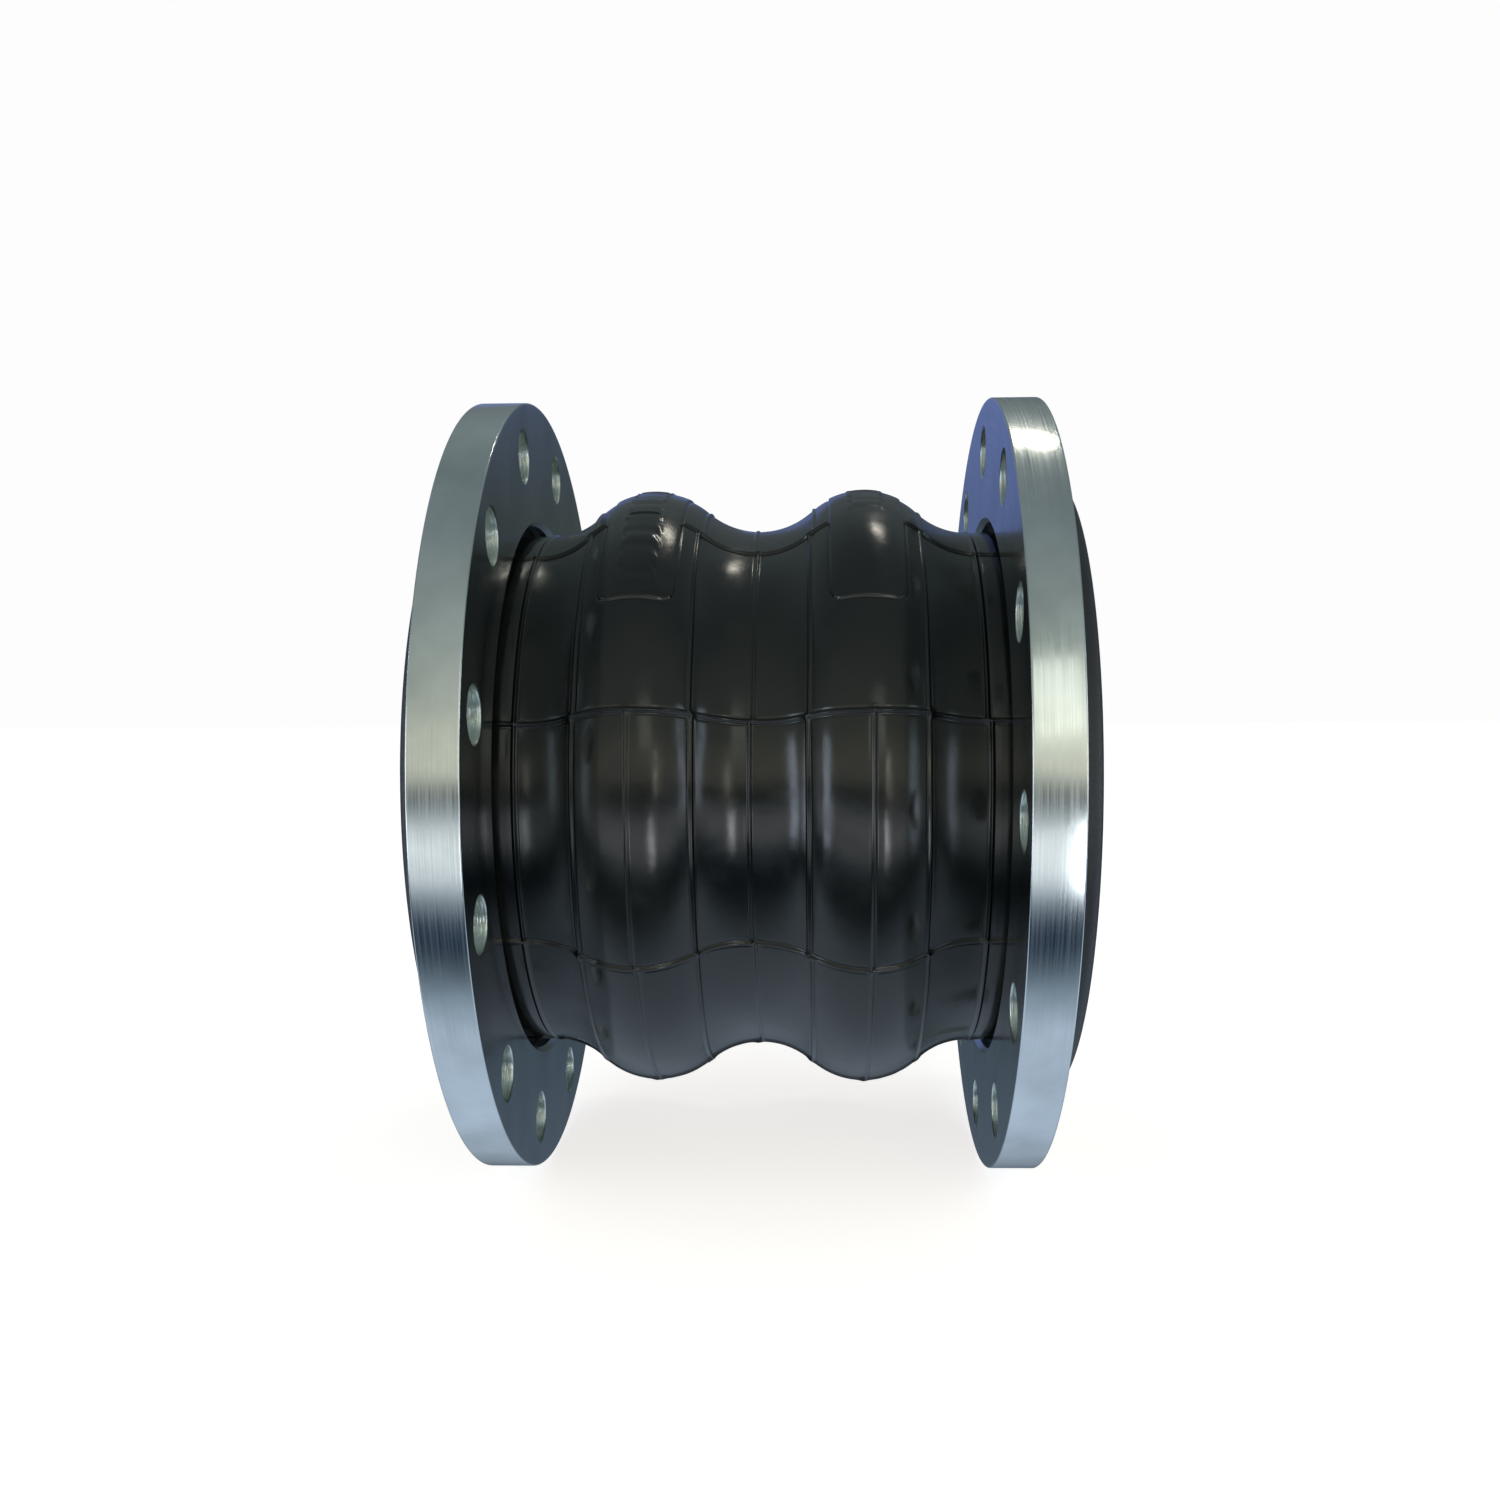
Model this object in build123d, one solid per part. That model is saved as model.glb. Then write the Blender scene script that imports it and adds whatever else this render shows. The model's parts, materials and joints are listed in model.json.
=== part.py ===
from build123d import *
import os
from math import asin, atan2, cos, pi, sin, sqrt

# Twin-arch rubber expansion joint with two loose steel flanges, DN 250, PN 16 drilling.
# The pipe axis is X, through the origin, which lies midway between the two sealing faces.
# Every section is drawn in the XZ half plane, where a point is (distance along X, radius).

# Pipe and flange
BORE_R = 125.0
FLANGE_R = 202.5
FLANGE_THICKNESS = 23.0
FLANGE_INNER_X = 117.5
FLANGE_BORE_R = 140.5
FLANGE_BORE_CHAMFER = 2.5
RIM_CHAMFER = 1.0
BOLT_CIRCLE_R = 177.5
BOLT_COUNT = 12
BOLT_HOLE_R = 13.0
BOLT_HOLE_CHAMFER = 0.4
LEFT_BOLT_PHASE = 15.0
RIGHT_BOLT_PHASE = 0.0

# Sealing ends
HALF_LENGTH = 155.0
SEAL_R = 162.0
SEAL_EDGE_R = 5.0
SEAL_BACK_EDGE_R = 2.0
FIT_GAP = 0.3

# Bead hidden in the flange groove
BEAD_BULGE_R = 13.2
BEAD_CAVITY_R = 9.3
BEAD_WRAP_R = 9.0
BEAD_WRAP_THICKNESS = 0.9
BEAD_FILLER_R = 7.8
BEAD_WIRE_R = 1.2
BEAD_WIRE_PITCH = 2.6
BEAD_WIRES_IN_ROW = (3, 4, 3)

# Rubber wall between the beads
WALL_HALF_LENGTH = 126.5
CREST_X = 54.0
NECK_X = 109.0
CREST_R = 156.5
WAIST_R = 136.5
NECK_R = 135.0
COVER_THICKNESS = 2.5
COVER_THICKNESS_AT_WAIST = 5.0
PLY_COUNT = 4
PLY_THICKNESS = 0.9
TUBE_THICKNESS = 2.4

# Steel ring laid in the cover at the waist
ROOT_RING_HALF_WIDTH = 5.0
ROOT_RING_INNER_R = 131.9
ROOT_RING_THICKNESS = 2.3

# Raised label pads on the crests
PAD_WIDTH = 36.5
PAD_HEIGHT = 1.2
PAD_START_ANGLE = 38.5
PAD_ARC = 67.0

# Worked out from the sizes above
FLANGE_OUTER_X = FLANGE_INNER_X + FLANGE_THICKNESS
SEAL_BACK_X = FLANGE_OUTER_X + FIT_GAP
GROOVE_R = BEAD_BULGE_R + FIT_GAP
CARCASS_GAP = COVER_THICKNESS + FIT_GAP
CARCASS_WAIST_R = WAIST_R - COVER_THICKNESS_AT_WAIST - FIT_GAP
PLY_PITCH = PLY_THICKNESS + FIT_GAP
TUBE_DEPTH = PLY_COUNT * PLY_PITCH
PAD_CREST_ARC_R = ((CREST_R - WAIST_R) ** 2 + CREST_X**2) / (4 * (CREST_R - WAIST_R))


def at(x, radius):
    """A point of the section, in the XZ half plane."""
    return (x, 0, radius)


def on_circle(x, radius, circle_r, angle):
    """The point at an angle in radians on a circle of the section, from +X towards +Z."""
    return at(x + circle_r * cos(angle), radius + circle_r * sin(angle))


def section_line(points):
    """Straight edges through section points, each given as (x, radius)."""
    corners = [at(*point) for point in points]
    return [Line(start, end) for start, end in zip(corners, corners[1:])]


def section_arc(x, radius, circle_r, start, end):
    """An arc of the section between two angles in radians."""
    angles = (start, (start + end) / 2, end)
    return ThreePointArc(*[on_circle(x, radius, circle_r, angle) for angle in angles])


def turned(edges):
    """A ring: the closed section turned once round the pipe axis."""
    return revolve(Face(Wire(edges)), axis=Axis.X)


def on_side(side, piece):
    """The piece as drawn for the right end, or its mirror image for the left end."""
    return piece if side > 0 else mirror(piece, about=Plane.YZ)


def ring_torus(tube_r, x=FLANGE_OUTER_X, radius=FLANGE_BORE_R):
    """A torus round the pipe axis, by default at the bead's centre."""
    return Pos(x, 0, 0) * Rot(0, 90, 0) * Torus(radius, tube_r)


def flange(side, phase):
    """Loose flange: bored, grooved for the bead and drilled on its bolt circle."""
    bore_end_x = FLANGE_OUTER_X - GROOVE_R
    edges = section_line(
        [
            (bore_end_x, FLANGE_BORE_R),
            (FLANGE_INNER_X + FLANGE_BORE_CHAMFER, FLANGE_BORE_R),
            (FLANGE_INNER_X, FLANGE_BORE_R + FLANGE_BORE_CHAMFER),
            (FLANGE_INNER_X, FLANGE_R - RIM_CHAMFER),
            (FLANGE_INNER_X + RIM_CHAMFER, FLANGE_R),
            (FLANGE_OUTER_X - RIM_CHAMFER, FLANGE_R),
            (FLANGE_OUTER_X, FLANGE_R - RIM_CHAMFER),
            (FLANGE_OUTER_X, FLANGE_BORE_R + GROOVE_R),
        ]
    )
    edges.append(section_arc(FLANGE_OUTER_X, FLANGE_BORE_R, GROOVE_R, pi / 2, pi))
    blank = turned(edges)
    for number in range(BOLT_COUNT):
        angle = phase + number * 360 / BOLT_COUNT
        middle_x = (FLANGE_INNER_X + FLANGE_OUTER_X) / 2
        hole = Pos(middle_x, -BOLT_CIRCLE_R, 0) * Rot(0, 90, 0) * bolt_hole()
        blank -= Rot(-angle, 0, 0) * hole
    return on_side(side, blank)


def bolt_hole():
    """What the drill takes out: a hole with a small chamfer at each face."""
    flare = Cone(BOLT_HOLE_R, BOLT_HOLE_R + 2 * BOLT_HOLE_CHAMFER, 2 * BOLT_HOLE_CHAMFER)
    top = Pos(0, 0, FLANGE_THICKNESS / 2) * flare
    bottom = Pos(0, 0, -FLANGE_THICKNESS / 2) * Rot(180, 0, 0) * flare
    return Cylinder(BOLT_HOLE_R, FLANGE_THICKNESS) + top + bottom


def seal_ring(side):
    """Rubber end: the neck's collar, the bead's bulge and the sealing face in one ring."""
    start_x = WALL_HALF_LENGTH + FIT_GAP
    dip = asin((FLANGE_BORE_R - NECK_R) / BEAD_BULGE_R)
    bulge_end_x = FLANGE_OUTER_X - BEAD_BULGE_R * cos(dip)
    bulge_top_r = FLANGE_BORE_R + BEAD_BULGE_R
    edges = section_line(
        [
            (bulge_end_x, NECK_R),
            (start_x, NECK_R),
            (start_x, BORE_R),
            (HALF_LENGTH, BORE_R),
            (HALF_LENGTH, SEAL_R - SEAL_EDGE_R),
        ]
    )
    edges.append(section_arc(HALF_LENGTH - SEAL_EDGE_R, SEAL_R - SEAL_EDGE_R, SEAL_EDGE_R, 0, pi / 2))
    back_edge_x = SEAL_BACK_X + SEAL_BACK_EDGE_R
    edges += section_line([(HALF_LENGTH - SEAL_EDGE_R, SEAL_R), (back_edge_x, SEAL_R)])
    back_edge_centre_r = SEAL_R - SEAL_BACK_EDGE_R
    edges.append(section_arc(back_edge_x, back_edge_centre_r, SEAL_BACK_EDGE_R, pi / 2, pi))
    edges += section_line(
        [
            (SEAL_BACK_X, back_edge_centre_r),
            (SEAL_BACK_X, bulge_top_r),
            (FLANGE_OUTER_X, bulge_top_r),
        ]
    )
    edges.append(section_arc(FLANGE_OUTER_X, FLANGE_BORE_R, BEAD_BULGE_R, pi / 2, pi + dip))
    return on_side(side, turned(edges) - ring_torus(BEAD_CAVITY_R))


def bead_wire_places():
    """Where each wire of the bead's bundle lies, as (x, radius), in close-packed rows."""
    row_pitch = BEAD_WIRE_PITCH * sqrt(3) / 2
    middle_row = (len(BEAD_WIRES_IN_ROW) - 1) / 2
    for row, count in enumerate(BEAD_WIRES_IN_ROW):
        for number in range(count):
            x = FLANGE_OUTER_X + (number - (count - 1) / 2) * BEAD_WIRE_PITCH
            yield x, FLANGE_BORE_R + (row - middle_row) * row_pitch


def bead_wires(side):
    """The steel hoops that lock the rubber end into its flange."""
    return [on_side(side, ring_torus(BEAD_WIRE_R, x, radius)) for x, radius in bead_wire_places()]


def bead_filler(side):
    """Hard rubber round the wire bundle."""
    half_width = max(BEAD_WIRES_IN_ROW) / 2 * BEAD_WIRE_PITCH + FIT_GAP
    half_height = len(BEAD_WIRES_IN_ROW) / 2 * BEAD_WIRE_PITCH + FIT_GAP
    left_x = FLANGE_OUTER_X - half_width
    right_x = FLANGE_OUTER_X + half_width
    low_r = FLANGE_BORE_R - half_height
    high_r = FLANGE_BORE_R + half_height
    corners = [(left_x, low_r), (right_x, low_r), (right_x, high_r), (left_x, high_r), (left_x, low_r)]
    return on_side(side, ring_torus(BEAD_FILLER_R) - turned(section_line(corners)))


def bead_wrap(side):
    """Fabric tube round the filler."""
    inside = ring_torus(BEAD_WRAP_R - BEAD_WRAP_THICKNESS)
    return on_side(side, ring_torus(BEAD_WRAP_R) - inside)


def half_wave(top_x, top_r, foot_x, foot_r, depth):
    """Two tangent arcs from a crest to a foot on either side of it, set inwards by a depth."""
    run = foot_x - top_x
    drop = top_r - foot_r
    arc_r = (run**2 + drop**2) / (4 * drop)
    lean = 2 * atan2(drop, abs(run)) * (1 if run > 0 else -1)
    crest = section_arc(top_x, top_r - arc_r, arc_r - depth, pi / 2, pi / 2 - lean)
    foot = section_arc(foot_x, foot_r + arc_r, arc_r + depth, 3 * pi / 2 - lean, 3 * pi / 2)
    return [crest, foot]


def wave_line(crest_r, waist_r, neck_r, depth):
    """The wall's whole line from the left end to the right end, set inwards by a depth."""
    neck = Line(at(NECK_X, neck_r - depth), at(WALL_HALF_LENGTH, neck_r - depth))
    outer = half_wave(CREST_X, crest_r, NECK_X, neck_r, depth)
    inner = half_wave(CREST_X, crest_r, 0, waist_r, depth)
    right = [neck, *outer, *inner]
    return right + [edge.mirror(Plane.YZ) for edge in right]


def carcass_line(depth):
    """A line at a depth under the outside of the outermost cord ply."""
    return wave_line(CREST_R - CARCASS_GAP, CARCASS_WAIST_R, NECK_R - CARCASS_GAP, depth)


def wall_layer(outside, inside, outside_r, inside_r):
    """A layer of the wall between two lines that end at these radii."""
    ends = [
        Line(at(x, inside_r), at(x, outside_r)) for x in (-WALL_HALF_LENGTH, WALL_HALF_LENGTH)
    ]
    return turned([*outside, *inside, *ends])


def carcass_layer(depth, thickness):
    """A layer of even thickness at a depth under the outermost cord ply's outside."""
    top_r = NECK_R - CARCASS_GAP - depth
    return wall_layer(
        carcass_line(depth), carcass_line(depth + thickness), top_r, top_r - thickness
    )


def outer_cover():
    """Weatherproof outer rubber, with a groove inside it for the waist ring."""
    outside = wave_line(CREST_R, WAIST_R, NECK_R, 0)
    layer = wall_layer(outside, carcass_line(-FIT_GAP), NECK_R, NECK_R - COVER_THICKNESS)
    return layer - waist_band(FIT_GAP)


def cord_ply(number):
    """One of the cord plies, counted from the outside."""
    return carcass_layer(number * PLY_PITCH, PLY_THICKNESS)


def inner_tube():
    """The lining that the fluid touches."""
    return carcass_layer(TUBE_DEPTH, TUBE_THICKNESS)


def waist_band(grow):
    """The waist ring's shape, grown on every side."""
    low_r = ROOT_RING_INNER_R - grow
    high_r = ROOT_RING_INNER_R + ROOT_RING_THICKNESS + grow
    half_width = ROOT_RING_HALF_WIDTH + grow
    corners = [(-half_width, low_r), (half_width, low_r), (half_width, high_r), (-half_width, high_r)]
    return turned(section_line([*corners, corners[0]]))


def label_pad(side):
    """A raised pad that follows the crest over the top."""
    centre_r = CREST_R - PAD_CREST_ARC_R
    low_r = PAD_CREST_ARC_R + FIT_GAP
    high_r = low_r + PAD_HEIGHT
    lean = asin(PAD_WIDTH / 2 / PAD_CREST_ARC_R)
    left = pi / 2 + lean
    right = pi / 2 - lean
    low_edge = section_arc(CREST_X, centre_r, low_r, left, right)
    high_edge = section_arc(CREST_X, centre_r, high_r, left, right)
    sides = [
        Line(on_circle(CREST_X, centre_r, low_r, angle), on_circle(CREST_X, centre_r, high_r, angle))
        for angle in (left, right)
    ]
    section = Face(Wire([low_edge, high_edge, *sides]))
    low_end = Rot(90 - PAD_START_ANGLE, 0, 0) * section
    return on_side(side, revolve(low_end, axis=Axis.X, revolution_arc=-PAD_ARC))


def main():
    os.makedirs("parts", exist_ok=True)
    nodes = {
        "outer_cover": outer_cover(),
        "inner_tube": inner_tube(),
        "root_ring": waist_band(0),
    }
    for number in range(PLY_COUNT):
        nodes[f"cord_ply_{number + 1}"] = cord_ply(number)
    for name, side, phase in (("left", -1, LEFT_BOLT_PHASE), ("right", 1, RIGHT_BOLT_PHASE)):
        nodes[f"{name}_flange"] = flange(side, phase)
        nodes[f"{name}_seal_ring"] = seal_ring(side)
        nodes[f"{name}_bead_wires"] = Compound(children=bead_wires(side))
        nodes[f"{name}_bead_filler"] = bead_filler(side)
        nodes[f"{name}_bead_wrap"] = bead_wrap(side)
        nodes[f"{name}_label_pad"] = label_pad(side)
    for name, piece in nodes.items():
        export_step(piece, f"parts/{name}.step")


main()
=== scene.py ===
import json
from math import cos, pi, radians, sin

import bmesh
import bpy
import numpy as np
from bpy.props import FloatProperty, FloatVectorProperty, IntProperty, PointerProperty
from mathutils import Matrix, Vector


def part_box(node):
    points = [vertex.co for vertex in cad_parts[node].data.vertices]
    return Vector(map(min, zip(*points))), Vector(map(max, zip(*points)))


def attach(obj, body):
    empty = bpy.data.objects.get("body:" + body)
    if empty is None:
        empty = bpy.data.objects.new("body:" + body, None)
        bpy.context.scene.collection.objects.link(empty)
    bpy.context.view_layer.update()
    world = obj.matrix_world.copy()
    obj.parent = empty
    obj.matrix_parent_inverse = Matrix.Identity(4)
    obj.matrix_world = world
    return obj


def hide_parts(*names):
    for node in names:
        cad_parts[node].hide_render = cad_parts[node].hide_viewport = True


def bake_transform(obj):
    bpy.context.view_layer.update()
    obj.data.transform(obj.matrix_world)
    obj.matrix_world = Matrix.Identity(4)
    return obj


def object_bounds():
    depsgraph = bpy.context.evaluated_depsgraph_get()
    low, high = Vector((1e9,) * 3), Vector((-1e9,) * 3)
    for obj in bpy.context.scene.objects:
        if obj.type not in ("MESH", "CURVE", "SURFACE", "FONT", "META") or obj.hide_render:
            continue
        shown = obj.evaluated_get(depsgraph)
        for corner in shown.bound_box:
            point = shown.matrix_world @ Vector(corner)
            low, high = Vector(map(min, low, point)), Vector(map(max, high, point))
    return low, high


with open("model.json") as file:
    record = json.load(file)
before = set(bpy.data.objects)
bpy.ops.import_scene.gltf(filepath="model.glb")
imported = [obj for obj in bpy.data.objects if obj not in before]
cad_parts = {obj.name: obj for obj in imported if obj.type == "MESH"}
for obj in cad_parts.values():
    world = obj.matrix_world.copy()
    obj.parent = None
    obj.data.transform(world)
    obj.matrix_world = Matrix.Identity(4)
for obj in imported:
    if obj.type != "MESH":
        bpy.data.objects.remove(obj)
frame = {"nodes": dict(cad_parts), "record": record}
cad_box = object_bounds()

bl_info = {
    "name": "Rubber expansion joint",
    "version": (1, 0, 0),
    "blender": (4, 5, 0),
    "location": "View3D > Sidebar > Expansion joint",
    "description": "Builds a twin-arch rubber expansion joint with loose drilled steel flanges",
    "category": "Object",
}

# The frame is in metres; sizes below that are easier to read in millimetres are times MM.
# The pipe axis is X. Angles round the pipe are measured from -Y, the front, up towards +Z.
MM = 0.001
SIDES = {"left": -1.0, "right": 1.0}


# ---------------------------------------------------------------- sizes taken from the frame


def outer_radius(node, x, reach=1.5 * MM):
    """The largest distance from the pipe axis of a node's vertices near a station x."""
    mesh = frame["nodes"][node].data
    co = np.empty(len(mesh.vertices) * 3)
    mesh.vertices.foreach_get("co", co)
    co = co.reshape(-1, 3)
    near = np.abs(co[:, 0] - x) < reach
    return float(np.hypot(co[near, 1], co[near, 2]).max())


def mount(name):
    """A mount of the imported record."""
    return next(entry for entry in frame["record"]["mounts"] if entry["name"] == name)


FLANGE_LOW, FLANGE_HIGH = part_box("right_flange")
SEAL_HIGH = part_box("right_seal_ring")[1]
WALL_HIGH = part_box("outer_cover")[1]
PAD_LOW, PAD_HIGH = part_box("right_label_pad")
TUBE_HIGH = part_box("inner_tube")[1]

# Flange: two opposite holes on the Y axis give the bolt circle
HOLE_R = mount("right_bolts_0")["dims"]["hole_r_mm"] * MM
BOLT_CIRCLE_R = mount("right_bolts_0")["dims"]["spacing_x_mm"] / 2 * MM
BOLT_COUNT = 12
FLANGE_R = round(FLANGE_HIGH.z, 4)
FLANGE_IN_X = FLANGE_LOW.x
FLANGE_OUT_X = FLANGE_HIGH.x
FLANGE_BORE_R = 140.5 * MM
BORE_CHAMFER = 2.5 * MM
BEAD_BULGE = 13.2 * MM
FIT_GAP = 0.3 * MM

# Rubber
CREST_X = (PAD_LOW.x + PAD_HIGH.x) / 2
PAD_WIDTH = PAD_HIGH.x - PAD_LOW.x
WALL_END_X = WALL_HIGH.x
NECK_X = 109.0 * MM
CREST_R = outer_radius("outer_cover", CREST_X)
WAIST_R = outer_radius("outer_cover", 0.0)
NECK_R = outer_radius("outer_cover", WALL_END_X)
SEAL_R = outer_radius("right_seal_ring", SEAL_HIGH.x - 8 * MM, reach=8 * MM)
COVER = 2.5 * MM
COVER_AT_WAIST = 5.0 * MM
TUBE = 2.4 * MM
PLIES = CREST_R - COVER - FIT_GAP - (TUBE_HIGH.z + FIT_GAP)
BORE_R = outer_radius("inner_tube", WALL_END_X) - TUBE
COLLAR_LENGTH = 6.5 * MM
COLLAR_STEP = 0.8 * MM
WALL_GAP = 0.2 * MM

# The cover's relief: how its seams wander, its pads' edges, and the bars on the pads
SEAM_WANDER = 0.6 * MM
SEAM_RIPPLE = 0.3 * MM
FLASH_REACH = 2.2 * MM
PAD_SLOPE = 0.8 * MM
PAD_GROOVE = 0.3 * MM
LINE_HALF_WIDTH = 0.7 * MM
BAR_PITCH = 13 * MM
BAR_HALF_ACROSS = 9 * MM
BAR_HALF_ALONG = 4 * MM
BAR_CORNER = 3 * MM
BARS = {-1.0: (13 * MM, 11), 1.0: (76 * MM, 6)}  # side: first bar's place up the pad, number

# The wall in four spans, with the bodies that each one joins
SPANS = [
    ("left_neck", -WALL_END_X, -CREST_X, "left_end", "left_arch"),
    ("left_waist", -CREST_X, 0.0, "left_arch", "waist"),
    ("right_waist", 0.0, CREST_X, "waist", "right_arch"),
    ("right_neck", CREST_X, WALL_END_X, "right_arch", "right_end"),
]


# ---------------------------------------------------------------- colours and nodes


def linear(hex_colour):
    """sRGB hex to the linear RGBA that shaders take: ((c + 0.055) / 1.055) ** 2.4 above the toe."""
    parts = [int(hex_colour[i : i + 2], 16) / 255 for i in (1, 3, 5)]
    return [c / 12.92 if c <= 0.04045 else ((c + 0.055) / 1.055) ** 2.4 for c in parts] + [1.0]


def colour_prop(name, hex_colour, description):
    """A colour that the user can change, given in sRGB hex."""
    return FloatVectorProperty(
        name=name, description=description, subtype="COLOR", size=4, min=0, max=1,
        default=linear(hex_colour),
    )


def length_prop(name, default, description):
    """A size in metres that the user can change."""
    return FloatProperty(
        name=name, description=description, default=default, unit="LENGTH", precision=5
    )


def angle_prop(name, degrees, description):
    """An angle that the user can change, given in degrees."""
    return FloatProperty(
        name=name, description=description, default=radians(degrees), subtype="ANGLE"
    )


def node(tree, kind, settings=None, stops=(), **inputs):
    """Adds a node. Settings are its properties, stops are a ramp's (position, grey or RGBA),
    and inputs are values or sockets to link from: an underscore stands for a space, and a
    letter with a number is the input's place in the list."""
    made = tree.nodes.new(kind)
    for key, value in (settings or {}).items():
        setattr(made, key, value)
    for number, (position, colour) in enumerate(stops):
        elements = made.color_ramp.elements
        element = elements[number] if number < 2 else elements.new(position)
        element.position = position
        element.color = colour if hasattr(colour, "__len__") else (colour, colour, colour, 1)
    for key, value in inputs.items():
        socket = made.inputs[int(key[1:]) if key[1:].isdigit() else key.replace("_", " ")]
        if isinstance(value, bpy.types.NodeSocket):
            tree.links.new(value, socket)
        else:
            socket.default_value = value
    return made


def material(name):
    """A new empty material: (material, tree, object coordinates)."""
    made = bpy.data.materials.new(name)
    made.use_nodes = True
    tree = made.node_tree
    tree.nodes.clear()
    return made, tree, node(tree, "ShaderNodeTexCoord").outputs["Object"]


# ---------------------------------------------------------------- surfaces


def round_pipe(x, radius, angle):
    """Points (x, -radius cos angle, radius sin angle), broadcast over arrays."""
    x, radius, angle = np.broadcast_arrays(x, radius, angle)
    return np.stack([x, -radius * np.cos(angle), radius * np.sin(angle)], axis=-1)


def grid_quads(rows, columns, close_rows=False, close_columns=True, first=0):
    """Quads between neighbouring points of a grid stored row by row."""
    index = first + np.arange(rows * columns).reshape(rows, columns)
    if close_rows:
        index = np.vstack([index, index[:1]])
    if close_columns:
        index = np.hstack([index, index[:, :1]])
    corners = (index[:-1, :-1], index[:-1, 1:], index[1:, 1:], index[1:, :-1])
    return np.stack(corners, axis=-1).reshape(-1, 4)


def outward(points, quads):
    """The quads, turned round if the volume that they enclose comes out negative."""
    a, b, c, d = (points[quads[:, i]] for i in range(4))
    volume = np.einsum("ij,ij->i", a, np.cross(b, c)) + np.einsum("ij,ij->i", a, np.cross(c, d))
    return quads if volume.sum() > 0 else quads[:, ::-1]


def add_piece(name, points, quads, materials, slots=None, sharp=None, normals=None):
    """Makes a mesh object from arrays, shaded smooth but for edges sharper than an angle."""
    quads = outward(points, quads)
    mesh = bpy.data.meshes.new(name)
    mesh.vertices.add(len(points))
    mesh.vertices.foreach_set("co", points.astype(np.float32).ravel())
    mesh.loops.add(quads.size)
    mesh.loops.foreach_set("vertex_index", quads.astype(np.int32).ravel())
    mesh.polygons.add(len(quads))
    mesh.polygons.foreach_set("loop_start", np.arange(0, quads.size, 4, dtype=np.int32))
    for made in materials:
        mesh.materials.append(made)
    if slots is not None:
        mesh.polygons.foreach_set("material_index", slots.astype(np.int32))
    mesh.update(calc_edges=True)
    mesh.validate()
    mesh.polygons.foreach_set("use_smooth", np.ones(len(mesh.polygons), bool))
    if sharp is not None:
        mesh.set_sharp_from_angle(angle=sharp)
    if normals is not None:
        mesh.normals_split_custom_set_from_vertices(normals)
    piece = bpy.data.objects.new(name, mesh)
    bpy.context.scene.collection.objects.link(piece)
    return piece


def rounded_outline(corners, step=radians(9)):
    """A closed outline through (x, radius, fillet) corners, each rounded by its own fillet:
    the arc is tangent to both sides and starts fillet * tan(turn / 2) before the corner."""
    spots = np.array([corner[:2] for corner in corners], float)
    outline = []
    for k, (x, radius, fillet) in enumerate(corners):
        spot = spots[k]
        back = spots[k - 1] - spot
        ahead = spots[(k + 1) % len(spots)] - spot
        back /= np.linalg.norm(back)
        ahead /= np.linalg.norm(ahead)
        turn = pi - np.arccos(np.clip(back @ ahead, -1, 1))
        if fillet == 0 or turn < step / 9:
            outline.append(spot[None])
            continue
        reach = fillet * np.tan(turn / 2)
        middle = back + ahead
        centre = spot + middle / np.linalg.norm(middle) * fillet / np.cos(turn / 2)
        first = spot + back * reach - centre
        last = spot + ahead * reach - centre
        side = np.sign(first[0] * last[1] - first[1] * last[0])
        angles = np.linspace(0, turn * side, max(2, int(turn / step) + 2))
        turned = first[0] * np.cos(angles) - first[1] * np.sin(angles)
        lifted = first[0] * np.sin(angles) + first[1] * np.cos(angles)
        outline.append(centre + np.stack([turned, lifted], axis=-1))
    return np.concatenate(outline)


def refined(low, high, step, marks=(), reach=0.0, fine=1.0):
    """Even samples from low to high, with closer ones within reach of each mark."""
    samples = [np.linspace(low, high, int(np.ceil((high - low) / step)) + 1)]
    samples += [mark + np.arange(-reach, reach + fine / 2, fine) for mark in marks]
    every = np.unique(np.concatenate(samples))
    every = every[(every > low + fine / 2) & (every < high - fine / 2)]
    every = every[np.concatenate([[True], np.diff(every) > fine / 3])]
    return np.concatenate([[low], every, [high]])


def wave(x, crest_r, waist_r, neck_r):
    """The wall's radius at a station: between a foot and a crest, two equal tangent arcs of
    radius (run**2 + drop**2) / (4 drop), the foot's up to half way and the crest's beyond."""
    far = np.abs(x)
    radius = np.full_like(far, neck_r)
    for foot_x, foot_r in ((0.0, waist_r), (NECK_X, neck_r)):
        run = abs(CREST_X - foot_x)
        arc = (run**2 + (crest_r - foot_r) ** 2) / (4 * (crest_r - foot_r))
        from_foot = np.abs(far - foot_x)
        here = (far - CREST_X) * (foot_x - CREST_X) >= 0
        low = foot_r + arc - np.sqrt(np.maximum(arc**2 - from_foot**2, 0))
        high = crest_r - arc + np.sqrt(np.maximum(arc**2 - (run - from_foot) ** 2, 0))
        on_wave = here & (far < NECK_X)
        radius = np.where(on_wave, np.where(from_foot < run / 2, low, high), radius)
    return radius


def wave_normal(x, *radii):
    """The outward normal (along X, along the radius) of the wave, from its slope."""
    small = 0.01 * MM
    slope = (wave(x + small, *radii) - wave(x - small, *radii)) / (2 * small)
    length = np.sqrt(1 + slope**2)
    return -slope / length, 1 / length


# ---------------------------------------------------------------- the rubber's relief


def ridge(distance, half_width):
    """A rounded rib's height as a share: exp(-(distance / half width) ** 2)."""
    return np.exp(-((distance / half_width) ** 2))


def step_up(inside, edge):
    """A share that rises smoothly from 0 to 1 as the depth inside an outline reaches edge."""
    share = np.clip(inside / edge, 0, 1)
    return share * share * (3 - 2 * share)


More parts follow.
